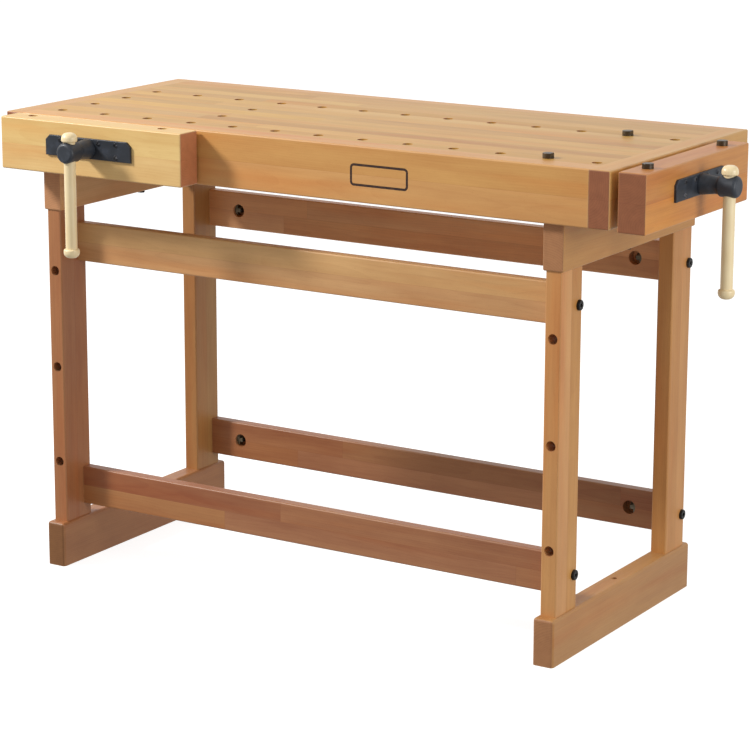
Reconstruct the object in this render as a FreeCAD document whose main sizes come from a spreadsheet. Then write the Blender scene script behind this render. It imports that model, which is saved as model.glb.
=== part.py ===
"""Woodworking bench with a face vise and an end vise, as a parametric FreeCAD document.

Axes: +X runs along the bench to the end vise, +Y from the front apron to the rear, +Z up, floor at Z = 0.
The origin is on the floor under the middle of the whole bench, vises included.

Bench pieces are drawn in bench coordinates: x from the worktop's left end, y from the front apron's face.
Vise pieces are drawn in vise coordinates: x along the jaw, y into the bench, z up from the screw's axis.
"""
import FreeCAD, Part
import os
import re

import Sketcher

Vector = FreeCAD.Vector

# ---------------------------------------------------------------- driving dimensions, millimetres

SIZES = {
    # worktop
    "worktop_length": 1301,
    "worktop_depth": 561,
    "working_height": 900,
    "slab_thickness": 27,
    "apron_height": 102.2,
    "front_apron_thickness": 45,
    "rear_apron_thickness": 30,
    "batten_thickness": 40,
    "tongue_length": 12,
    "tongue_thickness": 9,
    "rib_thickness": 26,
    "rib_clearance": 4,
    "edge_round": 3,
    # dog holes: a square grid at the left, evenly spaced columns from there to the right end
    "dog_hole_diameter": 19,
    "first_column_inset": 84.5,
    "last_column_inset": 58.5,
    "front_row_inset": 67,
    "hole_pitch": 101.5,
    "left_columns": 4,
    "right_columns": 9,
    "side_row_holes": 4,
    # trestles: a foot, two tenoned legs and a bearer each
    "left_trestle_inset": 95,
    "right_trestle_offset": 40.5,
    "leg_width": 31.5,
    "leg_depth": 77.5,
    "front_leg_inset": 18.5,
    "rear_leg_inset": 23.5,
    "foot_width": 41,
    "foot_height": 88,
    "foot_overhang": 18,
    "foot_round": 6,
    "bearer_width": 41,
    "bearer_height": 85.3,
    "bearer_overhang": 3.5,
    "tenon_thickness": 14,
    "tenon_shoulder": 12,
    "tenon_length": 40,
    "floor_bolt_hole": 11,
    "leg_holes": 3,
    "low_hole_height": 20,
    "high_hole_drop": 13,
    # rails, bolted through the legs into nuts in blind cross holes
    "rail_height": 76,
    "rail_thickness": 24,
    "upper_rail_drop": 31,
    "lower_rail_bottom": 113,
    "rail_bolt_diameter": 8,
    "rail_bolt_head": 20,
    "rail_bolt_head_height": 5,
    "bolt_clearance": 1,
    "cross_hole_diameter": 27,
    "cross_hole_inset": 74,
    "cross_hole_depth": 20,
    "nut_width": 13,
    "nut_thickness": 7,
    "washer_thickness": 7,
    "bolt_end": 3,
    "dowel_diameter": 8,
    "dowel_spread": 23,
    "dowel_in_leg": 15,
    "dowel_in_rail": 25,
    # bolts that hold the top down on the bearers
    "top_bolt_offset": 22,
    "top_bolt_diameter": 8,
    "top_bolt_head": 13,
    "top_bolt_head_height": 5.3,
    "top_bolt_grip": 30,
    "top_washer_diameter": 18,
    "top_washer_thickness": 1.6,
    # vises
    "front_jaw_inset": 33.5,
    "front_jaw_length": 421,
    "front_jaw_height": 100,
    "front_jaw_hole_setback": 18,
    "front_vise_gap": 5.1,
    "end_jaw_inset": 3.5,
    "end_jaw_hole_inset": 58,
    "end_jaw_hole_setback": 26.5,
    "end_jaw_length": 413,
    "end_jaw_height": 105,
    "end_vise_gap": 13.7,
    "jaw_thickness": 53,
    "vise_axis_drop": 44.7,
    "vise_opening": 150,
    "plate_length": 198,
    "plate_height": 38.5,
    "plate_thickness": 5,
    "plate_chamfer": 9,
    "plate_screw_spread": 65,
    "plate_screw_rise": 11.5,
    "inner_screw_spread": 25,
    "plate_screw_diameter": 4.5,
    "plate_screw_head": 9,
    "plate_screw_head_height": 2,
    "plate_screw_depth": 30,
    "screw_diameter": 22,
    "screw_bore": 26,
    "screw_end": 10,
    "running_clearance": 0.05,
    "seat_gap": 0.3,
    "collar_diameter": 36,
    "collar_thickness": 10,
    "collar_pocket_depth": 16,
    "collar_pocket_diameter": 40,
    "rod_diameter": 16,
    "rod_spread": 85,
    "rod_bore_clearance": 1,
    "yoke_length": 202,
    "yoke_height": 26,
    "yoke_thickness": 8,
    "yoke_screw_hole": 25,
    "guide_length": 212,
    "guide_height": 34,
    "guide_thickness": 12,
    "guide_reach": 50,
    "rod_boss_diameter": 28,
    "nut_boss_diameter": 34,
    "guide_screw_spread": 44,
    "guide_screw_rise": 9,
    "guide_screw_diameter": 6,
    "guide_screw_head": 12,
    "guide_screw_head_height": 5,
    "guide_screw_depth": 28,
    # hub and tommy bar
    "hub_reach": 76,
    "hub_bar_reach": 58,
    "hub_head_diameter": 38.5,
    "hub_head_length": 33,
    "hub_cone_length": 5,
    "hub_neck_diameter": 31,
    "hub_flange_diameter": 37.5,
    "hub_flange_thickness": 3,
    "hub_flare_length": 24,
    "hub_socket_depth": 29,
    "hub_end_round": 6.5,
    "hub_neck_round": 6,
    "bar_diameter": 22,
    "bar_length": 200.5,
    "bar_tenon_diameter": 14,
    "bar_tenon_length": 12,
    "knob_diameter": 30,
    "knob_height": 17.5,
    "knob_dome_round": 11,
    "knob_neck_round": 4,
    # dogs
    "dog_head_diameter": 20.5,
    "dog_head_height": 9.2,
    "dog_shank_length": 85,
    "dog_flat_depth": 2.5,
}

# ---------------------------------------------------------------- sizes and places worked out from them

DERIVED = {
    "origin_x": "(worktop_length + end_vise_gap + jaw_thickness + hub_reach) / 2",
    "origin_y": "(worktop_depth - front_vise_gap - jaw_thickness - hub_reach) / 2",
    # worktop
    "slab_under": "working_height - slab_thickness",
    "slab_middle": "working_height - slab_thickness / 2",
    "slab_left": "batten_thickness",
    "slab_right": "worktop_length - batten_thickness",
    "slab_front": "front_apron_thickness",
    "slab_rear": "worktop_depth - rear_apron_thickness",
    "apron_bottom": "working_height - apron_height",
    "fourth_column": "first_column_inset + (left_columns - 1) * hole_pitch",
    "right_pitch": "(worktop_length - last_column_inset - fourth_column) / right_columns",
    "dog_column": "fourth_column + (right_columns - 1) * right_pitch",
    "rear_row": "front_row_inset + (side_row_holes - 1) * hole_pitch",
    "rib_top": "vise_axis - yoke_height / 2 - rib_clearance",
    # trestles
    "left_trestle": "left_trestle_inset",
    "right_trestle": "dog_column + right_trestle_offset",
    "front_leg_back": "front_leg_inset + leg_depth",
    "rear_leg_back": "worktop_depth - rear_leg_inset",
    "rear_leg_front": "rear_leg_back - leg_depth",
    "foot_front": "front_leg_inset - foot_overhang",
    "foot_rear": "rear_leg_back + foot_overhang",
    "foot_middle": "(foot_front + foot_rear) / 2",
    "bearer_front": "front_leg_inset - bearer_overhang",
    "bearer_rear": "rear_leg_back + bearer_overhang",
    "top_bolt_place": "(bearer_front + bearer_rear) / 2 + top_bolt_offset",
    "bearer_bottom": "apron_bottom - bearer_height",
    # rails, and the dog holes in the front legs between them
    "upper_rail_bottom": "bearer_bottom - upper_rail_drop - rail_height",
    "lowest_leg_hole": "lower_rail_bottom + rail_height + low_hole_height",
    "highest_leg_hole": "upper_rail_bottom - high_hole_drop",
    "leg_hole_pitch": "(highest_leg_hole - lowest_leg_hole) / (leg_holes - 1)",
    "rail_left": "left_trestle + leg_width / 2",
    "rail_right": "right_trestle - leg_width / 2",
    "front_rail_middle": "front_leg_back - rail_thickness / 2",
    "rear_rail_middle": "rear_leg_back - rail_thickness / 2",
    "upper_rail_middle": "upper_rail_bottom + rail_height / 2",
    "lower_rail_middle": "lower_rail_bottom + rail_height / 2",
    "washer_flat": "cross_hole_inset - cross_hole_diameter / 2 + washer_thickness",
    # vises
    "vise_axis": "working_height - vise_axis_drop",
    "front_vise_middle": "front_jaw_inset + front_jaw_length / 2",
    "end_vise_middle": "end_jaw_inset + end_jaw_length / 2",
    "end_jaw_hole": "worktop_length + end_vise_gap + end_jaw_hole_setback",
    "front_jaw_hole": "end_jaw_inset + end_jaw_hole_inset",
    "rear_jaw_hole": "end_jaw_inset + end_jaw_length - end_jaw_hole_inset",
    "rod_end": "jaw_thickness + front_apron_thickness + guide_reach + vise_opening + yoke_thickness",
    "bar_top": "hub_head_diameter / 2 + seat_gap",
    "bar_bottom": "bar_top - bar_length",
    "hub_back": "plate_thickness + seat_gap",
}

WORD = re.compile(r"[a-z_]+")


def formula(text):
    """The text as a document expression: sizes refer to the sheet, derived names are written out."""
    def replace(match):
        word = match.group(0)
        if word in SIZES:
            return "Dims." + word
        return "(" + formula(DERIVED[word]) + ")"
    return WORD.sub(replace, text)


doc = FreeCAD.newDocument("joiners_bench")
sheet = doc.addObject("Spreadsheet::Sheet", "Dims")
for row, (alias, size) in enumerate(SIZES.items(), start=1):
    sheet.set(f"A{row}", alias.replace("_", " "))
    sheet.set(f"B{row}", str(size))
    sheet.setAlias(f"B{row}", alias)
doc.recompute()

# ---------------------------------------------------------------- frames: x, y, z of the origin, turn about Z

BENCH = ("0", "0", "0", 0)
FRONT_JAW = ("front_vise_middle", "-(front_vise_gap + jaw_thickness)", "vise_axis", 0)
END_JAW = ("worktop_length + end_vise_gap + jaw_thickness", "end_vise_middle", "vise_axis", 90)
FRONT_GUIDE = ("front_vise_middle", "front_apron_thickness", "vise_axis", 0)
END_GUIDE = ("worktop_length - batten_thickness", "end_vise_middle", "vise_axis", 90)

# ---------------------------------------------------------------- drawing helpers

NODES = []


def new_body(label, frame=BENCH):
    body = doc.addObject("PartDesign::Body", label)
    body.Label = label
    x, y, z, turn = frame
    body.Placement = FreeCAD.Placement(Vector(), FreeCAD.Rotation(Vector(0, 0, 1), turn))
    body.setExpression("Placement.Base.x", formula(f"{x} - origin_x"))
    body.setExpression("Placement.Base.y", formula(f"{y} - origin_y"))
    body.setExpression("Placement.Base.z", formula(z))
    NODES.append(body)
    return body


def new_sketch(body, name, plane, offset="0"):
    """A sketch on one of the body's origin planes (XY, XZ or YZ), moved along the plane's normal."""
    sketch = body.newObject("Sketcher::SketchObject", name)
    support = next(f for f in body.Origin.OriginFeatures if f.Role == plane + "_Plane")
    sketch.AttachmentSupport = [(support, "")]
    sketch.MapMode = "FlatFace"
    sketch.setExpression("AttachmentOffset.Base.z", formula(offset))
    return sketch


def fix_point(sketch, curve, point, across, up):
    for kind, text in (("DistanceX", across), ("DistanceY", up)):
        index = sketch.addConstraint(Sketcher.Constraint(kind, -1, 1, curve, point, 1.0))
        sketch.setExpression(f"Constraints[{index}]", formula(text))


def draw_polygon(sketch, corners):
    first = sketch.GeometryCount
    count = len(corners)
    for i in range(count):
        start, end = Vector(i, i * i, 0), Vector((i + 1) % count, ((i + 1) % count) ** 2, 0)
        sketch.addGeometry(Part.LineSegment(start, end), False)
    for i in range(count):
        joined = Sketcher.Constraint("Coincident", first + i, 2, first + (i + 1) % count, 1)
        sketch.addConstraint(joined)
    for i, (across, up) in enumerate(corners):
        fix_point(sketch, first + i, 1, across, up)


def draw_rectangle(sketch, left, right, low, high):
    draw_polygon(sketch, [(left, low), (right, low), (right, high), (left, high)])


def draw_circles(sketch, centres, diameter):
    for across, up in centres:
        circle = sketch.addGeometry(Part.Circle(Vector(1, 1, 0), Vector(0, 0, 1), 5), False)
        fix_point(sketch, circle, 3, across, up)
        index = sketch.addConstraint(Sketcher.Constraint("Diameter", circle, 10.0))
        sketch.setExpression(f"Constraints[{index}]", formula(diameter))


def pad(sketch, length, flip=False):
    """Adds material along the sketch's normal: +Z on XY, -Y on XZ, +X on YZ. flip goes the other way."""
    body = sketch.getParentGeoFeatureGroup()
    feature = body.newObject("PartDesign::Pad", sketch.Name + "_pad")
    feature.Profile = sketch
    feature.setExpression("Length", formula(length))
    feature.Reversed = flip
    sketch.Visibility = False
    return feature


def pocket(sketch, depth=None, flip=False):
    """Cuts against the sketch's normal. With no depth it cuts both ways through everything."""
    body = sketch.getParentGeoFeatureGroup()
    feature = body.newObject("PartDesign::Pocket", sketch.Name + "_cut")
    feature.Profile = sketch
    if depth is None:
        feature.Type = "ThroughAll"
        feature.SideType = "Symmetric"
    else:
        feature.setExpression("Length", formula(depth))
        feature.Reversed = flip
    sketch.Visibility = False
    return feature


def repeat(body, feature, axis, spacing, count):
    """Copies a feature in a row along the body's X, Y or Z axis."""
    pattern = body.newObject("PartDesign::LinearPattern", feature.Name + "_row")
    pattern.Originals = [feature]
    direction = next(f for f in body.Origin.OriginFeatures if f.Role == axis + "_Axis")
    pattern.Direction = (direction, [""])
    pattern.setExpression("Length", formula(f"({spacing}) * ({count} - 1)"))
    pattern.setExpression("Occurrences", formula(count))
    body.Tip = pattern
    return pattern


def bores(body, name, plane, centres, diameter, offset="0", depth=None, flip=False):
    sketch = new_sketch(body, name, plane, offset)
    draw_circles(sketch, centres, diameter)
    return pocket(sketch, depth, flip)


def block(label, x, y, z, frame=BENCH):
    """A squared board; x, y and z are (low, high)."""
    body = new_body(label, frame)
    sketch = new_sketch(body, label + "_outline", "XY", z[0])
    draw_rectangle(sketch, *x, *y)
    pad(sketch, f"{z[1]} - ({z[0]})")
    return body


def round_edges(body, radius, wanted):
    """Fillets the body's edges for which wanted(edge, box) holds, in the body's own coordinates."""
    doc.recompute()
    base = body.Tip
    box = base.Shape.BoundBox
    names = [f"Edge{i}" for i, edge in enumerate(base.Shape.Edges, start=1) if wanted(edge, box)]
    fillet = body.newObject("PartDesign::Fillet", f"{body.Name}_round{len(body.Group)}")
    fillet.Base = (base, names)
    fillet.setExpression("Radius", formula(radius))
    return fillet


def along(edge, axis):
    """Whether a straight edge runs along the axis, 0 to 2 for X to Z."""
    if not isinstance(edge.Curve, Part.Line):
        return False
    step = edge.Vertexes[-1].Point - edge.Vertexes[0].Point
    return abs(abs(step[axis]) - step.Length) < 1e-6


def every_edge(edge, box):
    return True


def edges_along(axis):
    return lambda edge, box: along(edge, axis)


def near(value, target):
    return abs(value - target) < 0.01


# ---------------------------------------------------------------- worktop

GUIDE_SCREWS = [(f"{i}guide_screw_spread", f"{k}guide_screw_rise") for i in "+-" for k in "+-"]


def vise_bores(body, plane, middle, inner_face, flip):
    """Holes through an apron or batten for the vise's screw and rods, and for the guide block's screws."""
    bores(body, body.Label + "_screw_bore", plane, [(middle, "vise_axis")], "screw_bore")
    rods = [(f"{middle} {i} rod_spread", "vise_axis") for i in "+-"]
    bores(body, body.Label + "_rod_bores", plane, rods, "rod_diameter + 2 * rod_bore_clearance")
    pilots = [(f"{middle} {across}", f"vise_axis {up}") for across, up in GUIDE_SCREWS]
    bores(body, body.Label + "_pilots", plane, pilots, "guide_screw_diameter", inner_face,
          "guide_screw_depth", flip)


def make_slab():
    slab = block("worktop_slab", ("slab_left", "slab_right"), ("slab_front", "slab_rear"),
                 ("slab_under", "working_height"))
    tongues = new_sketch(slab, "tongues", "XY", "slab_middle - tongue_thickness / 2")
    draw_rectangle(tongues, "slab_left - tongue_length", "slab_right + tongue_length",
                   "slab_front", "slab_rear")
    pad(tongues, "tongue_thickness")
    rows = ("front_row_inset", "rear_row")
    left = bores(slab, "left_holes", "XY", [("first_column_inset", row) for row in rows],
                 "dog_hole_diameter")
    repeat(slab, left, "X", "hole_pitch", "left_columns")
    right = bores(slab, "right_holes", "XY", [("fourth_column + right_pitch", row) for row in rows],
                  "dog_hole_diameter")
    repeat(slab, right, "X", "right_pitch", "right_columns")
    columns = ("first_column_inset", "fourth_column")
    side = bores(slab, "side_holes", "XY", [(column, "front_row_inset + hole_pitch") for column in columns],
                 "dog_hole_diameter")
    repeat(slab, side, "Y", "hole_pitch", "side_row_holes - 2")


def make_aprons():
    height = ("apron_bottom", "working_height")

    def outer_edges(side):
        return lambda edge, box: along(edge, 0) and near(edge.CenterOfMass.y, getattr(box, side))

    front = block("front_apron", ("slab_left", "slab_right"), ("0", "front_apron_thickness"), height)
    round_edges(front, "edge_round", outer_edges("YMin"))
    vise_bores(front, "XZ", "front_vise_middle", "-front_apron_thickness", True)
    rear = block("rear_apron", ("slab_left", "slab_right"), ("slab_rear", "worktop_depth"), height)
    round_edges(rear, "edge_round", outer_edges("YMax"))


def make_batten(label, low, high, inner, groove):
    """An end batten, grooved for the slab's tongue; its outer edges are rounded all the way round."""
    batten = block(label, (low, high), ("0", "worktop_depth"), ("apron_bottom", "working_height"))

    def outer(edge, box):
        face = box.XMin if inner == "high" else box.XMax
        height = edge.CenterOfMass.z
        corner = along(edge, 0) and (near(height, box.ZMin) or near(height, box.ZMax))
        return near(edge.CenterOfMass.x, face) or corner

    round_edges(batten, "edge_round", outer)
    sketch = new_sketch(batten, label + "_groove", "XY", "slab_middle - tongue_thickness / 2")
    draw_rectangle(sketch, *groove, "slab_front", "slab_rear")
    pocket(sketch, "tongue_thickness", True)
    return batten


def make_battens():
    make_batten("left_end_batten", "0", "batten_thickness", "high",
                ("slab_left - tongue_length", "slab_left + tongue_length"))
    right = make_batten("right_end_batten", "slab_right", "worktop_length", "low",
                        ("slab_right - tongue_length", "slab_right + tongue_length"))
    vise_bores(right, "YZ", "end_vise_middle", "slab_right", True)


def make_ribs():
    """Low members between the aprons, under the vises' rods, that take the bolts from the bearers."""
    for side in ("left", "right"):
        middle = side + "_trestle"
        rib = block(side + "_cross_rib", (f"{middle} - rib_thickness / 2", f"{middle} + rib_thickness / 2"),
                    ("slab_front", "slab_rear"), ("apron_bottom", "rib_top"))
        bores(rib, side + "_rib_pilot", "XY", [(middle, "top_bolt_place")], "top_bolt_diameter",
              "apron_bottom", "top_bolt_grip", True)


# ---------------------------------------------------------------- trestles

TRESTLES = {"left": "left_trestle", "right": "right_trestle"}
LEGS = {"front": ("front_leg_inset", "front_leg_back"), "rear": ("rear_leg_front", "rear_leg_back")}
RAIL_MIDDLES = {"front": "front_rail_middle", "rear": "rear_rail_middle"}
RAIL_LEVELS = ("upper", "lower")


def across(middle, width):
    return (f"{middle} - {width} / 2", f"{middle} + {width} / 2")


def tenon_outline(sketch, middle, leg):
    low, high = LEGS[leg]
    draw_rectangle(sketch, *across(middle, "tenon_thickness"),
                   f"{low} + tenon_shoulder", f"{high} - tenon_shoulder")


def cut_mortises(body, middle, level, flip):
    for leg in LEGS:
        sketch = new_sketch(body, f"{body.Label}_{leg}_mortise", "XY", level)
        tenon_outline(sketch, middle, leg)
        pocket(sketch, "tenon_length", flip)


def make_foot(side, middle):
    foot = block(side + "_foot", across(middle, "foot_width"), ("foot_front", "foot_rear"),
                 ("0", "foot_height"))
    round_edges(foot, "foot_round", lambda edge, box: not near(edge.CenterOfMass.z, box.ZMin))
    cut_mortises(foot, middle, "foot_height", False)
    bores(foot, side + "_floor_bolt", "XY", [(middle, "foot_middle")], "floor_bolt_hole")


def make_bearer(side, middle):
    bearer = block(side + "_bearer", across(middle, "bearer_width"), ("bearer_front", "bearer_rear"),
                   ("bearer_bottom", "apron_bottom"))
    round_edges(bearer, "edge_round", lambda edge, box: not near(edge.CenterOfMass.z, box.ZMax))
    cut_mortises(bearer, middle, "bearer_bottom", True)
    bores(bearer, side + "_top_bolt", "XY", [(middle, "top_bolt_place")],
          "top_bolt_diameter + bolt_clearance")


def make_leg(side, middle, leg):
    label = f"{side}_{leg}_leg"
    body = block(label, across(middle, "leg_width"), LEGS[leg], ("foot_height", "bearer_bottom"))
    round_edges(body, "edge_round", edges_along(2))
    for end, level, flip in (("lower", "foot_height", True), ("upper", "bearer_bottom", False)):
        sketch = new_sketch(body, f"{label}_{end}_tenon", "XY", level)
        tenon_outline(sketch, middle, leg)
        pad(sketch, "tenon_length", flip)
    rail = RAIL_MIDDLES[leg]
    bolts = [(rail, f"{level}_rail_middle") for level in RAIL_LEVELS]
    bores(body, label + "_bolts", "YZ", bolts, "rail_bolt_diameter + bolt_clearance")
    inner = f"{middle} + leg_width / 2" if side == "left" else f"{middle} - leg_width / 2"
    bores(body, label + "_dowels", "YZ", dowel_centres(leg), "dowel_diameter", inner,
          "dowel_in_leg", side == "right")
    if leg == "front":
        hole = bores(body, label + "_dog_hole", "XZ", [(middle, "lowest_leg_hole")], "dog_hole_diameter")
        repeat(body, hole, "Z", "leg_hole_pitch", "leg_holes")


def dowel_centres(leg):
    rail = RAIL_MIDDLES[leg]
    return [(rail, f"{level}_rail_middle {i} dowel_spread") for level in RAIL_LEVELS for i in "+-"]


def make_trestles():
    for side, middle in TRESTLES.items():
        make_foot(side, middle)
        make_bearer(side, middle)
        for leg in LEGS:
            make_leg(side, middle, leg)


# ---------------------------------------------------------------- rails and their fasteners

RAIL_ENDS = {"left": ("rail_left", 1), "right": ("rail_right", -1)}


def from_end(end, distance):
    """A place along a rail, measured inwards from its left or right end."""
    place, sign = RAIL_ENDS[end]
    return f"{place} + ({distance})" if sign > 0 else f"{place} - ({distance})"


def make_rail(level, leg):
    label = f"{level}_{leg}_rail"
    middle, height = RAIL_MIDDLES[leg], f"{level}_rail_middle"
    rail = block(label, ("rail_left", "rail_right"), across(middle, "rail_thickness"),
                 (f"{level}_rail_bottom", f"{level}_rail_bottom + rail_height"))
    round_edges(rail, "edge_round", edges_along(0))
    inner = f"-({middle} + rail_thickness / 2)" if leg == "front" else f"-({middle} - rail_thickness / 2)"
    crosses = [(from_end(end, "cross_hole_inset"), height) for end in RAIL_ENDS]
    bores(rail, label + "_cross_holes", "XZ", crosses, "cross_hole_diameter", inner,
          "cross_hole_depth", leg == "front")
    for end in RAIL_ENDS:
        face, flip = RAIL_ENDS[end][0], end == "left"
        bores(rail, f"{label}_{end}_bolt", "YZ", [(middle, height)], "rail_bolt_diameter + bolt_clearance",
              face, "cross_hole_inset", flip)
        dowels = [(middle, f"{height} {i} dowel_spread") for i in "+-"]
        bores(rail, f"{label}_{end}_dowels", "YZ", dowels, "dowel_diameter", face, "dowel_in_rail", flip)


def rail_centres():
    return [(RAIL_MIDDLES[leg], f"{level}_rail_middle") for leg in LEGS for level in RAIL_LEVELS]


def draw_hexagon(sketch, centre, width):
    half, slope, point = f"{width} / 2", f"{width} * 0.288675", f"{width} * 0.57735"
    corners = [("+", half, "+", slope), ("+", "0", "+", point), ("-", half, "+", slope),
               ("-", half, "-", slope), ("-", "0", "-", point), ("+", half, "-", slope)]
    draw_polygon(sketch, [(f"{centre[0]} {a} {b}", f"{centre[1]} {c} {d}") for a, b, c, d in corners])


def make_rail_bolts():
    body = new_body("rail_bolts")
    for end in RAIL_ENDS:
        outer = from_end(end, "-leg_width")
        head = new_sketch(body, end + "_bolt_heads", "YZ", outer)
        draw_circles(head, rail_centres(), "rail_bolt_head")
        pad(head, "rail_bolt_head_height", end == "left")
    round_edges(body, "rail_bolt_head_height / 3",
                lambda edge, box: near(edge.CenterOfMass.x, box.XMin) or near(edge.CenterOfMass.x, box.XMax))
    for end in RAIL_ENDS:
        shank = new_sketch(body, end + "_bolt_shanks", "YZ", from_end(end, "-leg_width"))
        draw_circles(shank, rail_centres(), "rail_bolt_diameter")
        pad(shank, "leg_width + washer_flat + nut_thickness + bolt_end", end == "right")


def make_rail_nuts():
    body = new_body("rail_nuts")
    for end in RAIL_ENDS:
        for leg in LEGS:
            sketch = new_sketch(body, f"{end}_{leg}_nuts", "YZ", from_end(end, "washer_flat"))
            for level in RAIL_LEVELS:
                draw_hexagon(sketch, (RAIL_MIDDLES[leg], f"{level}_rail_middle"), "nut_width")
            pad(sketch, "nut_thickness", end == "right")
        bores(body, end + "_nut_threads", "YZ", rail_centres(), "rail_bolt_diameter",
              from_end(end, "washer_flat"), "nut_thickness", end == "left")


def make_rail_washers():
    """Crescents that fill the cross holes' round wall and give the nuts a flat seat."""
    body = new_body("rail_washers")
    for leg in LEGS:
        edge = f"-({RAIL_MIDDLES[leg]} + nut_width / 2)"
        discs = new_sketch(body, leg + "_washer_discs", "XZ", edge)
        centres = [(from_end(end, "cross_hole_inset"), f"{level}_rail_middle")
                   for end in RAIL_ENDS for level in RAIL_LEVELS]
        draw_circles(discs, centres, "cross_hole_diameter")
        pad(discs, "nut_width")
    flats = new_sketch(body, "washer_flats", "XZ")
    draw_rectangle(flats, from_end("left", "washer_flat"), from_end("right", "washer_flat"),
                   "lower_rail_bottom", "upper_rail_bottom + rail_height")
    pocket(flats)
    bores(body, "washer_bores", "YZ", rail_centres(), "rail_bolt_diameter")


def make_rail_dowels():
    body = new_body("rail_dowels")
    centres = dowel_centres("front") + dowel_centres("rear")
    for end in RAIL_ENDS:
        sketch = new_sketch(body, end + "_dowels", "YZ", from_end(end, "-dowel_in_leg"))
        draw_circles(sketch, centres, "dowel_diameter")
        pad(sketch, "dowel_in_leg + dowel_in_rail", end == "right")


def make_top_fasteners():
    centres = [(middle, "top_bolt_place") for middle in TRESTLES.values()]
    bolts = new_body("top_bolts")
    heads = new_sketch(bolts, "top_bolt_heads", "XY", "bearer_bottom - top_washer_thickness")
    for centre in centres:
        draw_hexagon(heads, centre, "top_bolt_head")
    pad(heads, "top_bolt_head_height", True)
    shanks = new_sketch(bolts, "top_bolt_shanks", "XY", "bearer_bottom - top_washer_thickness")
    draw_circles(shanks, centres, "top_bolt_diameter")
    pad(shanks, "top_washer_thickness + bearer_height + top_bolt_grip")
    washers = new_body("top_washers")
    discs = new_sketch(washers, "top_washer_discs", "XY", "bearer_bottom")
    draw_circles(discs, centres, "top_washer_diameter")
    pad(discs, "top_washer_thickness", True)
    bores(washers, "top_washer_bores", "XY", centres, "top_bolt_diameter")


def make_rails():
    for level in RAIL_LEVELS:
        for leg in LEGS:
            make_rail(level, leg)
    make_rail_bolts()
    make_rail_washers()
    make_rail_nuts()
    make_rail_dowels()
    make_top_fasteners()


# ---------------------------------------------------------------- vises, the same hardware on both jaws

PLATE_SCREWS = [(f"{i}plate_screw_spread", f"{k}plate_screw_rise") for i in "+-" for k in "+-"]
PLATE_SCREWS += [(f"{i}inner_screw_spread", "plate_screw_rise") for i in "+-"]
RODS = [("+rod_spread", "0"), ("-rod_spread", "0")]
AXIS = [("0", "0")]


def make_jaw(label, frame, length, height, setback, dog_holes):
    jaw = block(label, (f"-{length} / 2", f"{length} / 2"), ("0", "jaw_thickness"),
                (f"vise_axis_drop - {height}", "vise_axis_drop"), frame)
    round_edges(jaw, "edge_round", every_edge)
    bores(jaw, label + "_screw_bore", "XZ", AXIS, "screw_bore")
    bores(jaw, label + "_rod_bores", "XZ", RODS, "rod_diameter")
    bores(jaw, label + "_collar_pocket", "XZ", AXIS, "collar_pocket_diameter", "-jaw_thickness",
          "collar_pocket_depth", True)
    bores(jaw, label + "_pilots", "XZ", PLATE_SCREWS, "plate_screw_diameter", "0", "plate_screw_depth")
    holes = [(place, f"jaw_thickness - {setback}") for place in dog_holes]
    bores(jaw, label + "_dog_holes", "XY", holes, "dog_hole_diameter")


def make_plate(vise, frame):
    plate = new_body(vise + "_face_plate", frame)
    outline = new_sketch(plate, vise + "_plate_outline", "XZ")
    wide, high, cut = "plate_length / 2", "plate_height / 2", "plate_chamfer"
    draw_polygon(outline, [(f"-{wide}", f"-{high}"), (wide, f"-{high}"), (wide, f"{high} - {cut}"),
                           (f"{wide} - {cut}", high), (f"-({wide} - {cut})", high),
                           (f"-{wide}", f"{high} - {cut}")])
    pad(outline, "plate_thickness")
    round_edges(plate, "plate_thickness / 4", lambda edge, box: near(edge.CenterOfMass.y, box.YMin))
    bores(plate, vise + "_plate_screw_bore", "XZ", AXIS, "screw_diameter + 2 * running_clearance")
    bores(plate, vise + "_plate_holes", "XZ", PLATE_SCREWS, "plate_screw_diameter")


def make_plate_screws(vise, frame):
    body = new_body(vise + "_plate_screws", frame)
    heads = new_sketch(body, vise + "_plate_screw_heads", "XZ", "plate_thickness")
    draw_circles(heads, PLATE_SCREWS, "plate_screw_head")
    pad(heads, "plate_screw_head_height")
    round_edges(body, "plate_screw_head_height / 2", lambda edge, box: near(edge.CenterOfMass.y, box.YMin))
    shanks = new_sketch(body, vise + "_plate_screw_shanks", "XZ", "plate_thickness")
    draw_circles(shanks, PLATE_SCREWS, "plate_screw_diameter")
    pad(shanks, "plate_thickness + plate_screw_depth", True)


def make_rods(vise, frame):
    rods = new_body(vise + "_guide_rods", frame)
    sketch = new_sketch(rods, vise + "_rod_outline", "XZ")
    draw_circles(sketch, RODS, "rod_diameter")
    pad(sketch, "rod_end", True)
    yoke = block(vise + "_guide_yoke", ("-yoke_length / 2", "yoke_length / 2"),
                 ("rod_end - yoke_thickness", "rod_end"), ("-yoke_height / 2", "yoke_height / 2"), frame)
    round_edges(yoke, "yoke_height / 4", edges_along(1))
    bores(yoke, vise + "_yoke_rod_holes", "XZ", RODS, "rod_diameter")
    bores(yoke, vise + "_yoke_screw_hole", "XZ", AXIS, "yoke_screw_hole")


def make_screw(vise, frame):
    screw = new_body(vise + "_vise_screw", frame)
    sketch = new_sketch(screw, vise + "_screw_outline", "XZ", "hub_back + hub_socket_depth")
    draw_circles(sketch, AXIS, "screw_diameter")
    pad(sketch, "hub_back + hub_socket_depth + rod_end + screw_end", True)
    round_edges(screw, "screw_diameter / 12", lambda edge, box: near(edge.CenterOfMass.y, box.YMax))
    collar = new_body(vise + "_screw_collar", frame)
    seat = "jaw_thickness - collar_pocket_depth + seat_gap"
    ring = new_sketch(collar, vise + "_collar_outline", "XZ", f"-({seat})")
    draw_circles(ring, AXIS, "collar_diameter")
    pad(ring, "collar_thickness", True)
    bores(collar, vise + "_collar_bore", "XZ", AXIS, "screw_diameter")


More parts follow.
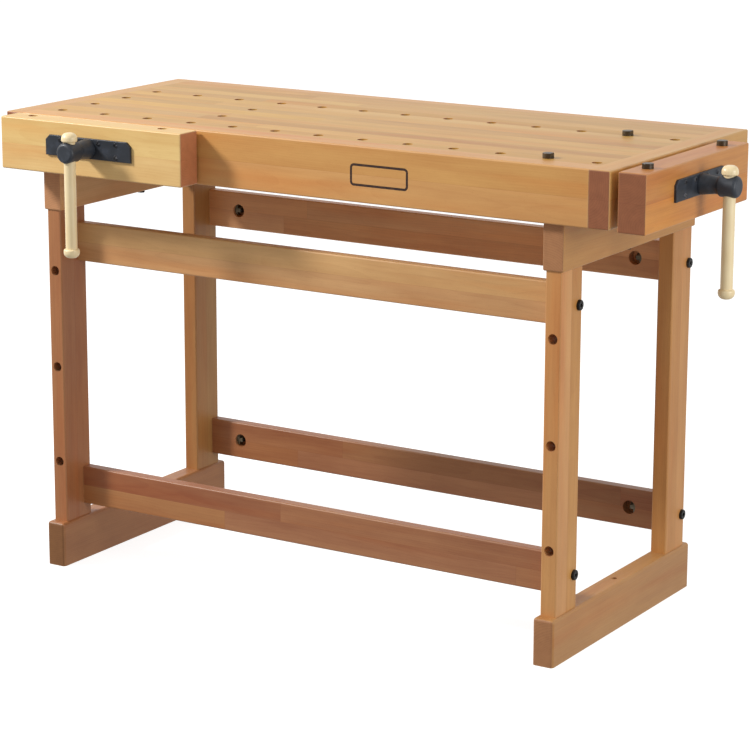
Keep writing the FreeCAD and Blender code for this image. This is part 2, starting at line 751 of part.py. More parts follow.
def make_hub(vise, frame):
    """The cast hub, turned about the screw: flange, flared neck and head with a cross bore for the bar."""
    hub = new_body(vise + "_vise_hub", frame)
    profile = new_sketch(hub, vise + "_hub_profile", "XY")
    flange_end = "hub_back + hub_flange_thickness"
    neck_start = f"{flange_end} + hub_flare_length"
    head_start = "hub_reach - hub_head_length"
    draw_polygon(profile, [("0", "-hub_back"), ("hub_flange_diameter / 2", "-hub_back"),
                           ("hub_flange_diameter / 2", f"-({flange_end})"),
                           ("hub_neck_diameter / 2", f"-({neck_start})"),
                           ("hub_neck_diameter / 2", f"-({head_start} - hub_cone_length)"),
                           ("hub_head_diameter / 2", f"-({head_start})"),
                           ("hub_head_diameter / 2", "-hub_reach"), ("0", "-hub_reach")])
    turned = hub.newObject("PartDesign::Revolution", vise + "_hub_turned")
    turned.Profile = profile
    turned.ReferenceAxis = (profile, ["V_Axis"])
    turned.Angle = 360
    profile.Visibility = False
    neck = SIZES["hub_neck_diameter"] / 2

    def ring(edge):
        return isinstance(edge.Curve, Part.Circle)

    round_edges(hub, "hub_end_round",
                lambda edge, box: ring(edge) and near(edge.CenterOfMass.y, box.YMin))
    round_edges(hub, "hub_neck_round", lambda edge, box: ring(edge) and near(edge.Curve.Radius, neck))
    bores(hub, vise + "_hub_socket", "XZ", AXIS, "screw_diameter", "hub_back", "hub_socket_depth", True)
    bores(hub, vise + "_hub_bar_bore", "XY", [("0", "-hub_bar_reach")],
          "bar_diameter + 2 * running_clearance")


def make_bar(vise, frame):
    bar = new_body(vise + "_handle_bar", frame)
    place = [("0", "-hub_bar_reach")]
    middle = new_sketch(bar, vise + "_bar_outline", "XY", "bar_bottom")
    draw_circles(middle, place, "bar_diameter")
    pad(middle, "bar_length")
    tenons = new_sketch(bar, vise + "_bar_tenons", "XY", "bar_bottom - bar_tenon_length")
    draw_circles(tenons, place, "bar_tenon_diameter")
    pad(tenons, "bar_length + 2 * bar_tenon_length")
    for end, seat, flip in (("upper", "bar_top", False), ("lower", "bar_bottom", True)):
        knob = new_body(f"{vise}_handle_{end}_knob", frame)
        outline = new_sketch(knob, f"{vise}_{end}_knob_outline", "XY", seat)
        draw_circles(outline, place, "knob_diameter")
        pad(outline, "knob_height", flip)
        outer = "ZMax" if end == "upper" else "ZMin"
        inner = "ZMin" if end == "upper" else "ZMax"
        for radius, level in (("knob_dome_round", outer), ("knob_neck_round", inner)):
            round_edges(knob, radius,
                        lambda edge, box, level=level: near(edge.CenterOfMass.z, getattr(box, level)))
        bores(knob, f"{vise}_{end}_knob_socket", "XY", place, "bar_tenon_diameter", seat,
              "bar_tenon_length", end == "upper")


def make_guide(vise, frame):
    """One casting behind the apron or batten: a plate, a boss for each rod and the threaded nut boss."""
    guide = new_body(vise + "_guide_block", frame)
    plate = new_sketch(guide, vise + "_guide_plate", "XZ")
    draw_rectangle(plate, "-guide_length / 2", "guide_length / 2", "-guide_height / 2", "guide_height / 2")
    pad(plate, "guide_thickness", True)
    for name, centres, diameter in (("rod", RODS, "rod_boss_diameter"), ("nut", AXIS, "nut_boss_diameter")):
        boss = new_sketch(guide, f"{vise}_{name}_bosses", "XZ")
        draw_circles(boss, centres, diameter)
        pad(boss, "guide_reach", True)
    bores(guide, vise + "_guide_rod_bores", "XZ", RODS, "rod_diameter + 2 * running_clearance")
    bores(guide, vise + "_nut_bore", "XZ", AXIS, "screw_diameter + 2 * running_clearance")
    bores(guide, vise + "_guide_screw_holes", "XZ", GUIDE_SCREWS, "guide_screw_diameter")
    screws = new_body(vise + "_guide_screws", frame)
    heads = new_sketch(screws, vise + "_guide_screw_heads", "XZ", "-guide_thickness")
    for centre in GUIDE_SCREWS:
        draw_hexagon(heads, centre, "guide_screw_head")
    pad(heads, "guide_screw_head_height", True)
    shanks = new_sketch(screws, vise + "_guide_screw_shanks", "XZ", "-guide_thickness")
    draw_circles(shanks, GUIDE_SCREWS, "guide_screw_diameter")
    pad(shanks, "guide_thickness + guide_screw_depth")


def make_vises():
    make_jaw("front_jaw", FRONT_JAW, "front_jaw_length", "front_jaw_height", "front_jaw_hole_setback",
             ["first_column_inset - front_vise_middle", "fourth_column - front_vise_middle"])
    make_jaw("end_jaw", END_JAW, "end_jaw_length", "end_jaw_height", "end_jaw_hole_setback",
             ["front_jaw_hole - end_vise_middle", "rear_jaw_hole - end_vise_middle"])
    for vise, frame, guide_frame in (("front", FRONT_JAW, FRONT_GUIDE), ("end", END_JAW, END_GUIDE)):
        make_plate(vise, frame)
        make_plate_screws(vise, frame)
        make_rods(vise, frame)
        make_screw(vise, frame)
        make_hub(vise, frame)
        make_bar(vise, frame)
        make_guide(vise, guide_frame)


# ---------------------------------------------------------------- dogs


def make_dog(label, x, y, flat):
    """A round dog; flat is +1 or -1, the side of its head, along X, that faces the work."""
    dog = new_body(label, (x, y, "working_height", 0))
    head = new_sketch(dog, label + "_head", "XY")
    draw_circles(head, AXIS, "dog_head_diameter")
    pad(head, "dog_head_height")
    round_edges(dog, "dog_head_height / 8", lambda edge, box: near(edge.CenterOfMass.z, box.ZMax))
    face = new_sketch(dog, label + "_flat", "YZ", f"{flat} * dog_head_diameter / 2")
    draw_rectangle(face, "-dog_head_diameter", "dog_head_diameter",
                   "dog_head_height / 4", "dog_head_height * 2")
    pocket(face, "dog_flat_depth", flat < 0)
    shank = new_sketch(dog, label + "_shank", "XY")
    draw_circles(shank, AXIS, "dog_hole_diameter - 2 * running_clearance")
    pad(shank, "dog_shank_length", True)


def make_dogs():
    make_dog("front_left_dog", "dog_column", "front_row_inset", 1)
    make_dog("rear_left_dog", "dog_column", "rear_row", 1)
    make_dog("front_right_dog", "end_jaw_hole", "front_jaw_hole", -1)
    make_dog("rear_right_dog", "end_jaw_hole", "rear_jaw_hole", -1)


# ---------------------------------------------------------------- build, check and write

make_slab()
make_aprons()
make_battens()
make_ribs()
make_trestles()
make_rails()
make_vises()
make_dogs()
doc.recompute()

faults = [f"{item.Label}: {item.State}" for item in doc.Objects
          if "Invalid" in item.State or "Error" in item.State]
for item in doc.Objects:
    if item.TypeId == "PartDesign::Pocket" and not faults:
        if item.BaseFeature.Shape.Volume - item.Shape.Volume < 1:
            faults.append(f"{item.Label} cuts nothing")
for body in NODES:
    if body.Shape.isNull() or not body.Shape.isValid() or not body.Shape.Solids:
        faults.append(f"{body.Label}: bad shape")
if faults:
    raise RuntimeError("; ".join(faults))

os.makedirs("parts", exist_ok=True)
for body in NODES:
    body.Shape.exportStep(os.path.join("parts", body.Label + ".step"))
print(len(NODES), "nodes,", sum(len(body.Shape.Solids) for body in NODES), "solids")
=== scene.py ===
"""Finishes, fasteners, threads, camera and light of the joiner's bench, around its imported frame."""
import math

import bmesh
import bpy
from mathutils import Matrix, Vector


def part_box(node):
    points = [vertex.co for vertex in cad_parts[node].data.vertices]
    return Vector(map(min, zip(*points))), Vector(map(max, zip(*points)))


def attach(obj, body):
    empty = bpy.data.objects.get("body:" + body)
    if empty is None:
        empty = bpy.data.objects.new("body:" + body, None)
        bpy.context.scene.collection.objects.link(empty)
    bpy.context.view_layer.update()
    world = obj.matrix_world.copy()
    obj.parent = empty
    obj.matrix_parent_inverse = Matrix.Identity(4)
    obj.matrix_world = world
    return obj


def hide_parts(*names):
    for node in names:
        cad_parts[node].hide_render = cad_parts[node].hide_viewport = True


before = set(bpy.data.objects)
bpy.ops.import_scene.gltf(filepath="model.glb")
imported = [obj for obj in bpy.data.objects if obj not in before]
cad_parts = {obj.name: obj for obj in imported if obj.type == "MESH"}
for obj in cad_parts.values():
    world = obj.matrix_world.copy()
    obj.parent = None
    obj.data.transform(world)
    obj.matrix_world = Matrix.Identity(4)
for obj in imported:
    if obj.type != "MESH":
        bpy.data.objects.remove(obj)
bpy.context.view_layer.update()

MM = 0.001
AXES = {"x": 0, "y": 1, "z": 2}
ORIGIN = Vector((0.0, 0.0, 0.0))
UP = Vector((0.0, 0.0, 1.0))
DOWN = -UP


def new_object(name, data):
    """An object of the scene that shows a mesh, a lamp or a camera."""
    thing = bpy.data.objects.new(name, data)
    bpy.context.scene.collection.objects.link(thing)
    return thing


def mesh_from(work, name):
    """Ends a bmesh and keeps it as a named mesh."""
    mesh = bpy.data.meshes.new(name)
    work.to_mesh(mesh)
    work.free()
    return mesh


# ---------------------------------------------------------------- node trees


class Graph:
    """Adds nodes to a tree and hands back their outputs.

    An input is a number, a tuple, another node's output, or a list of outputs where it takes several.
    """

    def __init__(self, tree):
        self.tree = tree

    def fill(self, sockets, values):
        """Sets each socket, or links it where its value is another node's output."""
        for key, value in values.items():
            for source in value if isinstance(value, list) else [value]:
                if isinstance(source, bpy.types.NodeSocket):
                    self.tree.links.new(source, sockets[key])
                else:
                    sockets[key].default_value = source

    def add(self, kind, inputs=None, **settings):
        node = self.tree.nodes.new(kind)
        for name, value in settings.items():
            setattr(node, name, value)
        self.fill(node.inputs, inputs or {})
        return node.outputs

    def math(self, operation, *values):
        return self.add("ShaderNodeMath", dict(enumerate(values)), operation=operation)[0]

    def half(self, value):
        return self.math("DIVIDE", value, 2.0)

    def swing(self, value, weight, base):
        """The base, plus the weight times how far a value from 0 to 1 stands from its middle."""
        return self.math("MULTIPLY_ADD", self.math("SUBTRACT", value, 0.5), weight, base)

    def count_off(self, value):
        """A value's whole number, and the share that is left over."""
        number = self.math("FLOOR", value)
        return number, self.math("SUBTRACT", value, number)

    def between(self, value, low, high, start=0.0, end=1.0):
        """start where the value is low, end where it is high, and a smooth change from one to the other."""
        return self.add("ShaderNodeMapRange", {"Value": value, "From Min": low, "From Max": high,
                                               "To Min": start, "To Max": end},
                        interpolation_type="SMOOTHSTEP")[0]

    def vector(self, operation, *values):
        return self.add("ShaderNodeVectorMath", dict(enumerate(values)), operation=operation)[0]

    def scale(self, vector, size):
        return self.add("ShaderNodeVectorMath", {0: vector, "Scale": size}, operation="SCALE")[0]

    def split(self, vector):
        return list(self.add("ShaderNodeSeparateXYZ", {0: vector}))

    def join(self, x, y, z):
        return self.add("ShaderNodeCombineXYZ", {0: x, 1: y, 2: z})[0]

    def object_place(self):
        return self.add("ShaderNodeTexCoord")["Object"]

    def noise(self, place, waves, detail=2.0, roughness=0.5):
        """Soft noise from 0 to 1, with so many waves per metre along each axis."""
        stretched = self.vector("MULTIPLY", place, waves)
        return self.add("ShaderNodeTexNoise", {"Vector": stretched, "Scale": 1.0, "Detail": detail,
                                               "Roughness": roughness})[0]

    def scatter(self, x, y, z):
        """Three random numbers from 0 to 1 that stay the same for the same x, y and z."""
        return self.split(self.add("ShaderNodeTexWhiteNoise", {"Vector": self.join(x, y, z)})[1])

    def mix(self, share, first, second, blend="MIX"):
        inputs = {0: share, 6: first, 7: second}  # sockets 6 and 7 take the two colours, and 2 gives one
        return self.add("ShaderNodeMix", inputs, data_type="RGBA", blend_type=blend, clamp_factor=True)[2]

    def bump(self, height, depth, strength=1.0):
        return self.add("ShaderNodeBump", {"Height": height, "Distance": depth, "Strength": strength})[0]


def new_tree(name, kind, inputs, outputs):
    """A group of nodes with these sockets, each a name and a kind: its graph and what it is given."""
    tree = bpy.data.node_groups.new(name, kind)
    for way, sockets in (("INPUT", inputs), ("OUTPUT", outputs)):
        for socket_name, socket_kind in sockets:
            tree.interface.new_socket(socket_name, in_out=way, socket_type="NodeSocket" + socket_kind)
    graph = Graph(tree)
    return graph, graph.add("NodeGroupInput")


def colour(red, green, blue):
    """A screen colour, 0 to 255, as the linear colour that shaders use."""
    def linear(level):
        share = level / 255
        return share / 12.92 if share <= 0.04045 else ((share + 0.055) / 1.055) ** 2.4
    return (linear(red), linear(green), linear(blue), 1.0)


def new_finish(name, values):
    """A material with one Principled surface: its graph, the surface's inputs and the material."""
    material = bpy.data.materials.new(name)
    material.use_nodes = True
    tree = material.node_tree
    tree.nodes.clear()
    graph = Graph(tree)
    surface = tree.nodes.new("ShaderNodeBsdfPrincipled")
    graph.fill(surface.inputs, values)
    graph.add("ShaderNodeOutputMaterial", {"Surface": surface.outputs[0]})
    return graph, surface.inputs, material


# ---------------------------------------------------------------- timber

WHOLE = 40.0  # a stave length far beyond any piece, so that the piece has no butt joints
FACE_MARGIN = 0.7 * MM  # how far a piece's outer faces stand inside its outermost staves
FIRST_JOINT, JOINT_SPREAD = 0.25, 0.5  # where a row's first butt joint may fall, in shares of a length
JOINT_DRAW = 3.7  # keeps the draw for a row's joints apart from the draws for its staves
LOG_SPREAD = (9.0, 5.0, 7.0)  # how far apart in the log the staves may be cut, in metres
PITH_SPREAD = 130 * MM
RING_WIDTH = 4.2 * MM
RING_WANDER = 30 * MM  # how far the rings bend along the grain
LATE_WOOD_POWER = 3.0  # each ring darkens towards its outer side
GLUE_LINE = 0.45 * MM
GLUE_DARKNESS = 0.35

GOLDEN_SHARE = 0.618  # each row of staves takes its tone this far on from its neighbour's
SEED_SHARE = 0.1  # how far a piece's seed moves the tones of its rows
OWN_TONE = 0.5  # how much of a tone of its own each stave adds to its row's
MEAN_TONE = 0.75  # the mean of a row's tone with its staves' own
HUE_SPREAD, SATURATION_SPREAD = 0.006, 0.08

# the figure in the wood: waves per metre along the grain and across it, detail and roughness
FIGURES = {
    "wander": (2.6, 9.0, 2.0, 0.5),
    "bands": (1.5, 13.0, 2.0, 0.5),
    "patches": (8.0, 30.0, 3.0, 0.6),
    "streaks": (1.8, 62.0, 4.0, 0.6),
    "fibres": (12.0, 700.0, 2.0, 0.5),
    "flecks": (170.0, 1500.0, 1.0, 0.5),
    "blush": (1.9, 21.0, 3.0, 0.5),
    "pores": (300.0, 1900.0, 1.0, 0.5),
}
# how much each part of it changes the tone of the side grain, then of the end grain
SIDE_TONE = {"bands": 0.8, "patches": 0.7, "streaks": 0.6, "late wood": 0.12, "fibres": 0.3}
END_TONE = {"late wood": 0.3, "streaks": 0.8, "pores": 0.5}

FLECK_RANGE, FLECK_DARKNESS = (0.68, 0.76), 0.28
BLUSH_RANGE, BLUSH_SHARE, BLUSH_COLOUR = (0.45, 0.75), 0.5, colour(255, 214, 170)
# pale rubbed edges: wear, and a painted highlight along the rounded arrises
WORN_HIGHLIGHT_EDGE = 3 * MM
WORN_HIGHLIGHT_RANGE, WORN_HIGHLIGHT_SHARES, WORN_HIGHLIGHT_COLOUR = (0.25, 0.7), (0.1, 0.4), colour(206, 166, 116)
END_FACING = (0.6, 0.85)  # how squarely a face cuts the grain where end grain starts and where it is full

ROUGHNESS = {"least": 0.36, "fibres": 0.16, "ends": 0.16}
RELIEF = {"fibres": 0.5, "late wood": 0.35, "flecks": 0.6, "glue": 0.9}
RELIEF_DEPTH, RELIEF_STRENGTH = 0.12 * MM, 0.5
OIL = {"IOR": 1.48, "Coat Weight": 0.12, "Coat Roughness": 0.28}

TIMBER_INPUTS = [("Place", "Vector"), ("Ends", "Float"), ("Worn and highlight", "Float"), ("Light", "Color"),
                 ("Dark", "Color"), ("End light", "Color"), ("End dark", "Color"), ("Stave width", "Float"),
                 ("Stave length", "Float"), ("Stave contrast", "Float"), ("Shade", "Float"),
                 ("Seed", "Float")]
TIMBER_OUTPUTS = [("Colour", "Color"), ("Roughness", "Float"), ("Height", "Float")]


def late_wood(g, given, wander, row_share, through, side_pick, depth_pick):
    """The dark of growth rings round a pith that lies outside the stave, bent a little along the grain."""
    pith_x, pith_y = (g.math("MULTIPLY", g.math("SUBTRACT", pick, 0.5), PITH_SPREAD)
                      for pick in (side_pick, depth_pick))
    ring_x = g.swing(row_share, given["Stave width"], pith_x)
    ring_y = g.math("ADD", through, pith_y)
    radius = g.math("SQRT", g.math("ADD", g.math("MULTIPLY", ring_x, ring_x),
                                   g.math("MULTIPLY", ring_y, ring_y)))
    radius = g.swing(wander, RING_WANDER, radius)
    ring = g.math("FRACT", g.math("DIVIDE", radius, RING_WIDTH))
    return g.math("POWER", ring, LATE_WOOD_POWER)


def glue_lines(g, given, row_share, run_share):
    """1 on the joints between rows and on the butt joints, fading to 0 beside them."""
    row_edge, run_edge = (g.math("MULTIPLY", g.math("MINIMUM", share, g.math("SUBTRACT", 1.0, share)), size)
                          for share, size in ((row_share, given["Stave width"]),
                                              (run_share, given["Stave length"])))
    return g.between(g.math("MINIMUM", row_edge, run_edge), 0.0, GLUE_LINE, 1.0, 0.0)


def side_grain(g, given, row, picks, figure, flecks):
    """The colour of the long faces: a tone for each stave, the figure in it, a blush and dark flecks."""
    tone_pick, side_pick, depth_pick = picks
    row_tone = g.math("FRACT", g.math("MULTIPLY_ADD", row, GOLDEN_SHARE,
                                      g.math("MULTIPLY", given["Seed"], SEED_SHARE)))
    stave_tone = g.math("MULTIPLY_ADD", tone_pick, OWN_TONE, row_tone)
    tone = g.math("MULTIPLY_ADD", g.math("SUBTRACT", stave_tone, MEAN_TONE), given["Stave contrast"], 0.5)
    for name, weight in SIDE_TONE.items():
        tone = g.swing(figure[name], weight, tone)
    shade = g.mix(tone, given["Light"], given["Dark"])
    shade = g.add("ShaderNodeHueSaturation", {"Hue": g.swing(depth_pick, HUE_SPREAD, 0.5),
                                              "Saturation": g.swing(side_pick, SATURATION_SPREAD, 1.0),
                                              "Color": shade})[0]
    blush = g.between(figure["blush"], *BLUSH_RANGE, 0.0, BLUSH_SHARE)
    shade = g.mix(blush, shade, BLUSH_COLOUR, "MULTIPLY")
    return g.mix(g.math("MULTIPLY", flecks, FLECK_DARKNESS), shade, given["Dark"], "MULTIPLY")


def end_grain(g, given, figure):
    """The colour of the ends: the rings read clearly, with fine pores between them."""
    tone = g.math("MULTIPLY_ADD", figure["late wood"], END_TONE["late wood"],
                  g.math("MULTIPLY", figure["streaks"], END_TONE["streaks"]))
    tone = g.swing(figure["pores"], END_TONE["pores"], tone)
    return g.mix(tone, given["End light"], given["End dark"])


def make_timber_tree():
    """Glued-up beech as a solid: Place is (along the grain, across the staves, through them) in metres."""
    g, given = new_tree("Timber", "ShaderNodeTree", TIMBER_INPUTS, TIMBER_OUTPUTS)
    along, across, through = g.split(given["Place"])

    # staves: rows across the board, each cut into lengths that start at a random place
    row, row_share = g.count_off(g.math("DIVIDE", across, given["Stave width"]))
    joint = g.math("MULTIPLY_ADD", g.scatter(row, given["Seed"], JOINT_DRAW)[0], JOINT_SPREAD, FIRST_JOINT)
    run, run_share = g.count_off(g.math("ADD", g.math("DIVIDE", along, given["Stave length"]), joint))
    picks = g.scatter(row, run, given["Seed"])
    tone_pick, side_pick, depth_pick = picks

    # each stave has its own figure, from its own place in the log
    in_log = g.join(*(g.math("MULTIPLY", pick, spread)
                      for pick, spread in zip((side_pick, depth_pick, tone_pick), LOG_SPREAD)))
    own_place = g.vector("ADD", given["Place"], in_log)
    figure = {name: g.noise(own_place, (waves_along, waves_across, waves_across), detail, roughness)
              for name, (waves_along, waves_across, detail, roughness) in FIGURES.items()}
    figure["late wood"] = late_wood(g, given, figure["wander"], row_share, through, side_pick, depth_pick)
    flecks = g.between(figure["flecks"], *FLECK_RANGE)

    # side grain, or end grain on the ends, then the glue lines, and the edges rubbed pale, which also
    # paints the highlight that the rounded edges catch
    shade = g.mix(given["Ends"], side_grain(g, given, row, picks, figure, flecks),
                  end_grain(g, given, figure))
    glue = glue_lines(g, given, row_share, run_share)
    shade = g.mix(g.math("MULTIPLY", glue, GLUE_DARKNESS), shade, given["Dark"], "MULTIPLY")
    # the edges are mixed towards a pale tan: wear, and a painted highlight on the arrises
    rub_and_highlight = g.math("MULTIPLY", given["Worn and highlight"], g.between(figure["streaks"], *WORN_HIGHLIGHT_RANGE, *WORN_HIGHLIGHT_SHARES))
    # the piece's Shade scales its whole colour; on some pieces this paints in the light or shade that falls
    # on them
    shade = g.scale(g.mix(rub_and_highlight, shade, WORN_HIGHLIGHT_COLOUR), given["Shade"])

    rough = g.math("MULTIPLY_ADD", figure["fibres"], ROUGHNESS["fibres"], ROUGHNESS["least"])
    rough = g.math("MULTIPLY_ADD", given["Ends"], ROUGHNESS["ends"], rough)
    raised = g.math("MULTIPLY_ADD", figure["fibres"], RELIEF["fibres"],
                    g.math("MULTIPLY", figure["late wood"], RELIEF["late wood"]))
    sunk = g.math("ADD", g.math("MULTIPLY", flecks, RELIEF["flecks"]),
                  g.math("MULTIPLY", glue, RELIEF["glue"]))
    g.add("NodeGroupOutput", {"Colour": shade, "Roughness": rough,
                              "Height": g.math("SUBTRACT", raised, sunk)})
    return g.tree


TIMBER = make_timber_tree()

# light and dark of the side grain, then of the end grain
WOODS = {
    "top": ((216, 168, 86), (184, 134, 58), (170, 108, 62), (132, 78, 42)),
    "apron": ((224, 173, 106), (198, 138, 78), (168, 102, 62), (128, 74, 42)),
    "batten": ((214, 166, 98), (184, 132, 70), (166, 100, 62), (126, 72, 42)),
    "jaw": ((242, 208, 142), (214, 164, 96), (196, 124, 80), (156, 94, 56)),
    "end jaw": ((220, 153, 70), (176, 108, 44), (164, 98, 60), (124, 72, 40)),
    "frame": ((214, 157, 90), (180, 119, 61), (204, 144, 94), (164, 108, 68)),
    "rail": ((214, 160, 108), (170, 110, 70), (196, 142, 98), (158, 108, 72)),
    "pale rail": ((222, 176, 120), (184, 130, 80), (196, 142, 98), (158, 108, 72)),
    "red rail": ((211, 148, 98), (168, 101, 64), (196, 142, 98), (158, 108, 72)),
    "red foot": ((208, 143, 90), (162, 98, 58), (168, 113, 64), (134, 84, 44)),
}


def wear_and_highlight_at_edges(graph, place, low, high, width):
    """1 on the edges of the box from low to high, fading to 0 at the given width away from them: where the
    pale worn edge and its painted highlight go.
    """
    inside = graph.vector("MINIMUM", graph.vector("SUBTRACT", place, low),
                          graph.vector("SUBTRACT", high, place))
    x, y, z = graph.split(inside)
    # the middle one of the three distances is small only beside an edge
    from_edge = graph.math("MAXIMUM", graph.math("MINIMUM", x, y),
                           graph.math("MINIMUM", graph.math("MAXIMUM", x, y), z))
    return graph.between(from_edge, 0.0, width, 1.0, 0.0)


def timber_finish(node, wood, grain, staves, stave_length, contrast, shade, seed):
    """Timber for one CAD node. grain names the axes along the grain, across the staves and through them."""
    g, surface, material = new_finish(node + "_timber", OIL)
    low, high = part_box(node)
    order = [AXES[letter] for letter in grain]
    start = low - Vector((FACE_MARGIN, FACE_MARGIN, FACE_MARGIN))
    stave_width = (high[order[1]] - low[order[1]] + 2 * FACE_MARGIN) / staves
    texture = g.add("ShaderNodeTexCoord")
    place = g.split(g.vector("SUBTRACT", texture["Object"], tuple(start)))
    facing = g.split(texture["Normal"])
    light, dark, end_light, end_dark = (colour(*tint) for tint in WOODS[wood])
    inputs = {"Place": g.join(*(place[axis] for axis in order)),
              "Ends": g.between(g.math("ABSOLUTE", facing[order[0]]), *END_FACING),
              "Worn and highlight": wear_and_highlight_at_edges(g, texture["Object"], tuple(low), tuple(high), WORN_HIGHLIGHT_EDGE),
              "Light": light, "Dark": dark, "End light": end_light, "End dark": end_dark,
              "Stave width": stave_width, "Stave length": stave_length,
              "Stave contrast": contrast, "Shade": shade, "Seed": float(seed)}
    timber = g.add("ShaderNodeGroup", inputs, node_tree=TIMBER)
    g.fill(surface, {"Base Color": timber["Colour"], "Roughness": timber["Roughness"],
                     "Normal": g.bump(timber["Height"], RELIEF_DEPTH, RELIEF_STRENGTH)})
    return material


# ---------------------------------------------------------------- birch, steel, cast iron and ink


def birch_finish(name, along):
    """Pale turned birch: fine grain along one axis and the faint rings that the lathe leaves."""
    waves_along, waves_across = 9.0, 260.0
    cloud_waves, ring_waves = 22.0, 900.0
    light, dark = colour(255, 240, 200), colour(234, 204, 150)
    g, surface, material = new_finish(name, {"IOR": 1.5, "Coat Weight": 0.35, "Coat Roughness": 0.2})
    place = g.object_place()
    waves = [waves_across] * 3
    waves[AXES[along]] = waves_along
    grain = g.noise(place, tuple(waves), 3.0, 0.6)
    cloud = g.noise(place, (cloud_waves,) * 3, 2.0)
    tone = g.math("MULTIPLY_ADD", cloud, 0.5, g.math("MULTIPLY", grain, 0.6))
    turned = g.noise(g.join(0.0, 0.0, g.split(place)[AXES[along]]), (0.0, 0.0, ring_waves), 1.0)
    height = g.math("MULTIPLY_ADD", turned, 0.5, grain)
    g.fill(surface, {"Base Color": g.mix(tone, light, dark),
                     "Roughness": g.math("MULTIPLY_ADD", grain, 0.2, 0.3),
                     "Normal": g.bump(height, 0.1 * MM, 0.4)})
    return material


def metal_finish(name, base, worn, metallic, rough, grit, grit_size, coat=0.0):
    """Metal with a clouded finish and a fine grit of the given size; worn is its colour where rubbed."""
    cloud_waves, grit_waves = 40.0, 1 / grit_size
    rubbed_range, grit_share = (0.62, 0.95), 0.35
    values = {"Metallic": metallic, "Coat Weight": coat, "Coat Roughness": 0.3}
    g, surface, material = new_finish(name, values)
    place = g.object_place()
    cloud = g.noise(place, (cloud_waves,) * 3, 4.0, 0.6)
    grains = g.noise(place, (grit_waves,) * 3, 2.0)
    rubbed = g.between(g.math("MULTIPLY_ADD", grains, grit_share, cloud), *rubbed_range)
    g.fill(surface, {"Base Color": g.mix(rubbed, colour(*base), colour(*worn)),
                     "Roughness": g.swing(cloud, 0.25, rough),
                     "Normal": g.bump(grains, grit, 0.6)})
    return material


def ink_finish(name):
    """Brown stamping ink that the wood's pores break up a little."""
    ink, bare = colour(54, 32, 22), colour(140, 92, 52)
    g, surface, material = new_finish(name, {"Coat Weight": 0.1, "Coat Roughness": 0.3})
    gaps = g.between(g.noise(g.object_place(), (90.0, 900.0, 900.0), 2.0), 0.55, 0.75)
    g.fill(surface, {"Base Color": g.mix(g.math("MULTIPLY", gaps, 0.5), ink, bare),
                     "Roughness": g.math("MULTIPLY_ADD", gaps, 0.2, 0.45)})
    return material


# colour, colour where rubbed, how metallic, how rough, the depth and the size of its grit, clear coat
HUB_BLACK = metal_finish("hub_black", (44, 49, 57), (64, 70, 80), 0.0, 0.5, 0.03 * MM, 1.6 * MM, 0.1)
PLATE_BLACK = metal_finish("plate_black", (35, 40, 48), (54, 60, 72), 0.0, 0.5, 0.03 * MM, 1.6 * MM, 0.1)
BOLT_BLACK = metal_finish("bolt_black", (22, 21, 22), (58, 56, 56), 0.4, 0.38, 0.03 * MM, 0.8 * MM)
NUT_GREY = metal_finish("nut_grey", (104, 96, 76), (168, 160, 144), 0.5, 0.42, 0.03 * MM, 0.8 * MM)
DOG_BLACK = metal_finish("dog_black", (62, 50, 34), (104, 86, 60), 0.3, 0.34, 0.04 * MM, 1.0 * MM)
SCREW_GREY = metal_finish("screw_grey", (66, 66, 70), (140, 140, 144), 0.9, 0.34, 0.02 * MM, 0.6 * MM)
ROD_STEEL = metal_finish("rod_steel", (176, 176, 180), (214, 214, 216), 1.0, 0.26, 0.01 * MM, 0.5 * MM)
GUIDE_IRON = metal_finish("guide_iron", (34, 35, 38), (70, 70, 74), 0.1, 0.52, 0.25 * MM, 2.6 * MM)
BIRCH = birch_finish("handle_birch", "z")
INK = ink_finish("brown_ink")


# ---------------------------------------------------------------- what repeats: Geometry Nodes

HEXAGON = 6
HEXAGON_CORNER = math.sqrt(3)  # a hexagon's width across its flats, over the radius to its corners
BEVEL_ANGLE, SHARP_ANGLE = math.radians(38), math.radians(35)


def new_shape_tree(name, sizes):
    """A tree that takes a mesh of places, named sizes and a material."""
    inputs = [("Geometry", "Geometry"), *((size, "Float") for size in sizes), ("Material", "Material")]
    return new_tree(name, "GeometryNodeTree", inputs, [("Geometry", "Geometry")])


def moved(graph, mesh, place):
    return graph.add("GeometryNodeTransform", {"Geometry": mesh, "Translation": place})[0]


def drum(graph, sides, bottom_radius, top_radius, height, base=0.0):
    """A round or many-sided drum that stands on z = base, with straight or sloping sides."""
    mesh = graph.add("GeometryNodeMeshCone", {"Vertices": sides, "Radius Top": top_radius,
                                              "Radius Bottom": bottom_radius, "Depth": height})[0]
    return moved(graph, mesh, graph.join(0.0, 0.0, base))


def shank_below(graph, given, sides):
    """A plain round shank from z = 0 downwards."""
    radius = graph.half(given["Shank diameter"])
    base = graph.math("MULTIPLY", given["Shank length"], -1.0)
    return drum(graph, sides, radius, radius, given["Shank length"], base)


def cut(graph, mesh, tools):
    inputs = {"Mesh 1": mesh, "Mesh 2": tools}
    return graph.add("GeometryNodeMeshBoolean", inputs, operation="DIFFERENCE")[0]


def joined(graph, *meshes):
    return graph.add("GeometryNodeJoinGeometry", {0: list(meshes)})[0]


def finish_tree(graph, mesh, given):
    """Realizes the mesh, gives it the material and ends the tree."""
    solid = graph.add("GeometryNodeRealizeInstances", {"Geometry": mesh})[0]
    solid = graph.add("GeometryNodeSetMaterial", {"Geometry": solid, "Material": given["Material"]})[0]
    graph.add("NodeGroupOutput", {"Geometry": solid})
    return graph.tree


